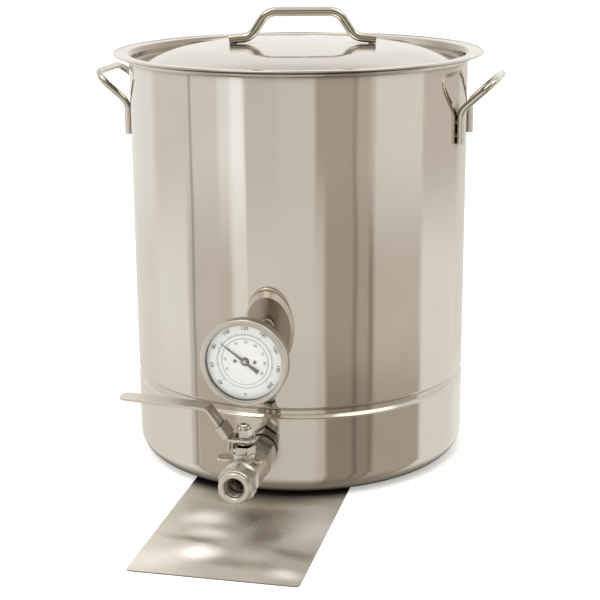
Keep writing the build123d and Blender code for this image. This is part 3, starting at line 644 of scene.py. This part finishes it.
def plain(name, colour, rough, grain=900.0, depth=0.00002, **more):
    """Moulded or painted surface with a fine grain."""
    made, g = material(name)
    fine = g.noise(g.place(), grain, 3.0)
    g.surface(
        Base_Color=g.mix(fine, colour, darker(colour, 0.93)),
        Roughness=g.spread(fine, 0.3, 0.7, rough - 0.05, rough + 0.05),
        Normal=g.bump(fine, depth),
        **more,
    )
    return made


def rubbed_sheet(name):
    """Thin satin sheet with painted sheen in patches and painted dark reflections in streaks, their outlines
    bent a little by noise.
    """
    made, g = material(name)
    bend = g.node("ShaderNodeTexNoise")
    bend.inputs["Scale"].default_value = 16.0
    bend.inputs["Detail"].default_value = 2.0
    g.link(g.position(), bend.inputs["Vector"])
    shifted = g.vector("MULTIPLY_ADD", bend.outputs["Color"], (PLATE_BEND, PLATE_BEND, 0.0), g.position())

    def patches(rows):
        total = 0.0
        for x, y, half_length, half_width, degrees, strength in rows:
            middle = (x * MM + PLATE_BEND / 2, y * MM + PLATE_BEND / 2, 0)
            turned = g.node("ShaderNodeVectorRotate", rotation_type="Z_AXIS")
            g.link(g.vector("SUBTRACT", shifted, middle), turned.inputs["Vector"])
            turned.inputs["Angle"].default_value = -math.radians(degrees)
            shrink = (1 / (half_length * MM), 1 / (half_width * MM), 0)
            reach = g.vector("LENGTH", g.vector("MULTIPLY", turned.outputs[0], shrink))
            total = g.math("ADD", total, g.spread(reach, 0.0, 1.0, strength, 0.0, smooth=True))
        return g.math("MINIMUM", total, 1.0)

    bright = patches(PLATE_SHEEN_PATCHES)
    dark = patches(PLATE_PAINTED_DARK_PATCHES)
    fine = g.noise(g.place((1, 14, 1)), 260.0, 3.0)
    base = g.mix(bright, PLATE_SATIN, PLATE_SHEEN)
    base = g.mix(dark, base, PLATE_PAINTED_DARK)
    # painted contact shadow: darker where another surface is within 30 mm
    base = g.mix(g.spread(g.openness(0.030), 0.42, 0.80), PLATE_CONTACT_SHADOW, base)
    metal = g.math("ADD", g.math("MULTIPLY_ADD", bright, -0.55, 0.70), g.math("MULTIPLY", dark, 0.25))
    roughness = g.math("MULTIPLY_ADD", dark, -0.08, g.spread(fine, 0.3, 0.7, 0.26, 0.36))
    swell = g.noise(g.place((1, 0.6, 1)), 22.0, 1.0)
    g.surface(
        Base_Color=base,
        Metallic=g.math("MINIMUM", metal, 1.0),
        Roughness=roughness,
        Normal=g.bump(swell, 0.0009, g.bump(fine, 0.000015)),
    )
    return made


def lens_glass(name):
    made, g = material(name)
    g.surface(
        Base_Color=(0.97, 0.98, 0.98, 1),
        Roughness=0.02,
        Alpha=0.07,
        IOR=1.5,
        Specular_IOR_Level=0.5,
    )
    return made


def make_materials():
    steels = {
        "kettle_steel": dict(
            rough=0.058, spread=0.018, brushed=AROUND, grain=30.0, waves=0.0006, flow=(1, 1, 0.4),
            crevice=0.008, brushed_inside=True,
        ),
        "lid_steel": dict(rough=0.11, spread=0.02, grain=60.0, waves=0.0002, crevice=0.010, channel=True),
        "sheet_steel": dict(rough=0.24, spread=0.04, grain=200.0, waves=0.0006),
        "rod_steel": dict(rough=0.11, spread=0.03, grain=300.0, waves=0.00008),
        "weld_steel": dict(colour=WELD_STEEL, rough=0.32, spread=0.10, grain=500.0, depth=0.0002),
        "valve_steel": dict(
            colour=CAST_STEEL, rough=0.31, spread=0.06, grain=260.0, depth=0.00005,
            edge=0.0007, waves=0.0001, crevice=0.0035,
        ),
        "lever_steel": dict(
            colour=LEVER_STEEL, rough=0.32, spread=0.05, brushed=(1, 9, 9), edge=0.0004, crevice=0.004,
        ),
        "fitting_steel": dict(rough=0.14, spread=0.04, grain=500.0, edge=0.0004, crevice=0.006),
        "lock_steel": dict(rough=0.09, spread=0.03, grain=500.0, edge=0.0003, crevice=0.004),
        "post_steel": dict(colour=POST_STEEL, rough=0.35, spread=0.05),
        "case_steel": dict(colour=CASE_STEEL, rough=0.34, spread=0.04, grain=300.0),
    }
    print_grain = dict(grain=3000.0, depth=0.000003)
    plains = {
        "dark_seal_and_reflection": dict(colour=(0.055, 0.045, 0.036, 1), rough=0.36),
        "silicone": dict(colour=(0.70, 0.66, 0.60, 1), rough=0.5, Subsurface_Weight=0.2),
        "ptfe": dict(colour=(0.88, 0.88, 0.86, 1), rough=0.45),
        "black_rubber": dict(colour=(0.012, 0.012, 0.012, 1), rough=0.55),
        "dial_white": dict(colour=(0.74, 0.765, 0.765, 1), rough=0.35, **print_grain),
        "pointer_black": dict(colour=(0.02, 0.02, 0.02, 1), rough=0.4),
        "dial_ink": dict(colour=(0.05, 0.055, 0.07, 1), rough=0.5, **print_grain),
        "dial_ink_pale": dict(colour=(0.17, 0.19, 0.25, 1), rough=0.5, **print_grain),
    }
    made = {name: steel(name, **settings) for name, settings in steels.items()}
    made.update({name: plain(name, **settings) for name, settings in plains.items()})
    made["plate_steel"] = rubbed_sheet("plate_steel")
    made["lens_glass"] = lens_glass("lens_glass")
    return made


def paint_cad(materials):
    """Give each CAD node its finish, and keep the heat plate out of the wall's reflection."""
    frame["nodes"]["heat_plate"].visible_glossy = False
    slots = {row["node"]: row["material_slot"] for row in frame["record"]["subparts"]}
    for name, node in frame["nodes"].items():
        chosen = materials[FINISH_BY_NODE.get(name, slots[name])]
        if node.data.materials:
            for index in range(len(node.data.materials)):
                node.data.materials[index] = chosen
        else:
            node.data.materials.append(chosen)


# ---- added pieces ----------------------------------------------------------------------------------------
def add_piece(name, mesh, chosen, body, smooth=True):
    """Link a bmesh as a new object that rides on a body."""
    bmesh.ops.recalc_face_normals(mesh, faces=mesh.faces)
    data = bpy.data.meshes.new(name)
    mesh.to_mesh(data)
    mesh.free()
    data.materials.append(chosen)
    for polygon in data.polygons:
        polygon.use_smooth = smooth
    piece = bpy.data.objects.new(name, data)
    bpy.context.scene.collection.objects.link(piece)
    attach(piece, body)
    return piece


def middle_of(node):
    low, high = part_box(node)
    return (low + high) / 2


def front_of(node):
    """Distance of the node's foremost face in front of the kettle's axis."""
    return -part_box(node)[0].y


def around_axis(centre, radius, out, angle):
    """A point at that radius and angle round an axis along -Y, out metres in front of the kettle's axis."""
    return (centre.x + radius * math.sin(angle), -out, centre.z + radius * math.cos(angle))


def turn_rows(mesh, outline, centre, steps):
    """Rows of vertices that repeat an outline of (radius, out) round the -Y direction."""
    rows = []
    for step in range(steps):
        angle = math.tau * step / steps
        rows.append([mesh.verts.new(around_axis(centre, radius, out, angle)) for radius, out in outline])
    return rows


def bridge_rings(mesh, first, second):
    """Join two closed rings of vertices with four-sided faces."""
    count = len(first)
    for index in range(count):
        after = (index + 1) % count
        mesh.faces.new((first[index], first[after], second[after], second[index]))


def ring_shape(mesh, outline, centre, steps):
    """Turn a closed outline of (radius, out) about the -Y direction."""
    rows = turn_rows(mesh, outline, centre, steps)
    for step in range(steps):
        bridge_rings(mesh, rows[step], rows[(step + 1) % steps])


def turned_solid(mesh, outline, centre, steps):
    """Turn an outline that starts and ends on the axis about the -Y direction."""
    ends = [mesh.verts.new((centre.x, -outline[index][1], centre.z)) for index in (0, -1)]
    rows = turn_rows(mesh, outline[1:-1], centre, steps)
    for step in range(steps):
        first, second = rows[step], rows[(step + 1) % steps]
        mesh.faces.new((ends[0], first[0], second[0]))
        mesh.faces.new((ends[1], second[-1], first[-1]))
        for index in range(len(outline) - 3):
            mesh.faces.new((first[index], first[index + 1], second[index + 1], second[index]))


def helix_ridge(mesh, centre, start, end):
    """The thread's ridge inside the bore, as one closed strip with a flat-topped section."""
    count = int((end - start) / THREAD_PITCH * THREAD_STEPS)
    fade_steps = THREAD_FADE * THREAD_STEPS
    half_root = THREAD_PITCH * THREAD_FILL
    half_crest = half_root * THREAD_FLAT
    rows = []
    for step in range(count + 1):
        angle = math.tau * step / THREAD_STEPS
        out = start + THREAD_PITCH * step / THREAD_STEPS
        rise = min(1.0, step / fade_steps, (count - step) / fade_steps)
        crest = THREAD_ROOT - (THREAD_ROOT - THREAD_CREST) * rise
        section = (
            (THREAD_ROOT, out - half_root),
            (crest, out - half_crest),
            (crest, out + half_crest),
            (THREAD_ROOT, out + half_root),
        )
        rows.append([mesh.verts.new(around_axis(centre, radius, along, angle)) for radius, along in section])
    for first, second in zip(rows, rows[1:]):
        bridge_rings(mesh, first, second)
    mesh.faces.new(rows[0])
    mesh.faces.new(list(reversed(rows[-1])))


def lettering(mesh, text, size, place):
    """Add a short text's solid outline to a mesh."""
    curve = bpy.data.curves.new("lettering", "FONT")
    curve.body = text
    curve.size = size
    curve.align_x = "CENTER"
    curve.align_y = "CENTER"
    curve.extrude = INK_T / 2
    curve.offset = size * INK_WEIGHT
    curve.resolution_u = 3
    holder = bpy.data.objects.new("lettering", curve)
    outline = bpy.data.meshes.new_from_object(holder)
    outline.transform(place)
    mesh.from_mesh(outline)
    bpy.data.objects.remove(holder)
    bpy.data.curves.remove(curve)
    bpy.data.meshes.remove(outline)


def dial_place(face, angle, radius):
    """Where a mark sits on the dial: clockwise from the top, its own top pointing outwards."""
    upright = Matrix.Rotation(math.pi / 2, 4, "X")
    spun = Matrix.Rotation(-angle, 4, "Z")
    return Matrix.Translation(face) @ upright @ spun @ Matrix.Translation((0, radius, 0))


def dial_bar(mesh, face, angle, inner, outer, width):
    place = dial_place(face, angle, (inner + outer) / 2)
    size = Matrix.Diagonal((width, outer - inner, INK_T, 1))
    bmesh.ops.create_cube(mesh, size=1.0, matrix=place @ size)


def dial_angle(fahrenheit):
    """Clockwise from the top; the scale's gap is at the foot."""
    lowest, highest = FAHRENHEIT
    return math.radians((fahrenheit - lowest) * DIAL_SWEEP / (highest - lowest) - DIAL_SWEEP / 2)


def to_fahrenheit(celsius):
    return celsius * 1.8 + 32


def tick_length(reading, long, short):
    return long if reading % 10 == 0 else short


def make_dial(materials):
    """The dial's printed circles, ticks and numbers, and the dark ring between dial and glass: black rubber,
    and painted shadow under the bezel's inner edge.
    """
    middle = middle_of("thermometer_dial")
    front = front_of("thermometer_dial")
    face = Vector((middle.x, -front - INK_T / 2 - INK_GAP, middle.z))
    lowest, highest = FAHRENHEIT

    ink = bmesh.new()
    for radius, width in DIAL_CIRCLES:
        outline = [
            (radius - width / 2, front),
            (radius + width / 2, front),
            (radius + width / 2, front + INK_T),
            (radius - width / 2, front + INK_T),
        ]
        ring_shape(ink, outline, face, DIAL_STEPS)
    radius, size = OUTER_NUMBERS
    for reading in range(lowest, highest + 1, NUMBER_STEP):
        lettering(ink, str(reading), size, dial_place(face, dial_angle(reading), radius))
        dial_bar(ink, face, dial_angle(reading), *NUMBER_MARK)
    dial_bar(ink, face, math.pi, *FOOT_MARK)
    add_piece("dial_print", ink, materials["dial_ink"], "kettle", smooth=False)

    pale = bmesh.new()
    start, long, short, width = OUTER_TICKS
    for reading in range(lowest, highest + 1, 2):
        length = tick_length(reading, long, short)
        dial_bar(pale, face, dial_angle(reading), start, start + length, width)
    end, long, short, width = INNER_TICKS
    coldest, hottest = CELSIUS
    for celsius in range(coldest, hottest + 1):
        length = tick_length(celsius, long, short)
        dial_bar(pale, face, dial_angle(to_fahrenheit(celsius)), end - length, end, width)
    radius, size = INNER_NUMBERS
    for celsius in range(10, hottest, 10):
        place = dial_place(face, dial_angle(to_fahrenheit(celsius)), radius)
        lettering(pale, str(celsius), size, place)
    add_piece("dial_print_inner", pale, materials["dial_ink_pale"], "kettle", smooth=False)

    inner, outer = DIAL_WALL
    from_dial, from_glass = DIAL_WALL_GAPS
    wall_start = front + from_dial
    wall_end = -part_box("thermometer_gasket")[1].y - from_glass
    outline = [(inner, wall_start), (outer, wall_start), (outer, wall_end), (inner, wall_end)]
    wall = bmesh.new()
    ring_shape(wall, outline, face, DIAL_STEPS)
    add_piece("dial_inner_wall", wall, materials["black_rubber"], "kettle")


def make_bezel(materials):
    """The case's bezel: a broad, nearly flat front ring with a rolled outer edge."""
    low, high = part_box("thermometer_bezel")
    edge = (high.x - low.x) / 2
    front = -low.y
    back = -high.y
    shape = [(edge + inwards * MM, front - behind * MM) for inwards, behind in BEZEL_FRONT]
    shape += [
        (edge, back + BEZEL_EDGE),
        (edge - BEZEL_EDGE, back),
        (edge - BEZEL_SHEET, back),
        (edge - BEZEL_SHEET, front - BEZEL_LIP),
    ]
    ring = bmesh.new()
    ring_shape(ring, shape, middle_of("thermometer_bezel"), BEZEL_STEPS)
    bezel = add_piece("bezel_ring", ring, materials["case_steel"], "kettle")
    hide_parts("thermometer_bezel")


def make_pointer_cap(materials):
    front = front_of("thermometer_pointer")
    outline = [(radius * MM, front + out * MM) for radius, out in CAP_OUTLINE]
    cap = bmesh.new()
    turned_solid(cap, outline, middle_of("thermometer_dial"), CAP_STEPS)
    add_piece("pointer_cap", cap, materials["case_steel"], "pointer")


def make_outlet_thread(materials):
    end = front_of("valve_body")
    centre = Vector((0, 0, middle_of("valve_end_cap").z))
    ridge = bmesh.new()
    helix_ridge(ridge, centre, end - THREAD_START, end - THREAD_END)
    add_piece("outlet_thread", ridge, materials["valve_steel"], "kettle")


make_camera()
make_world()
make_stage()
materials = make_materials()
paint_cad(materials)
make_dial(materials)
make_bezel(materials)
make_pointer_cap(materials)
make_outlet_thread(materials)
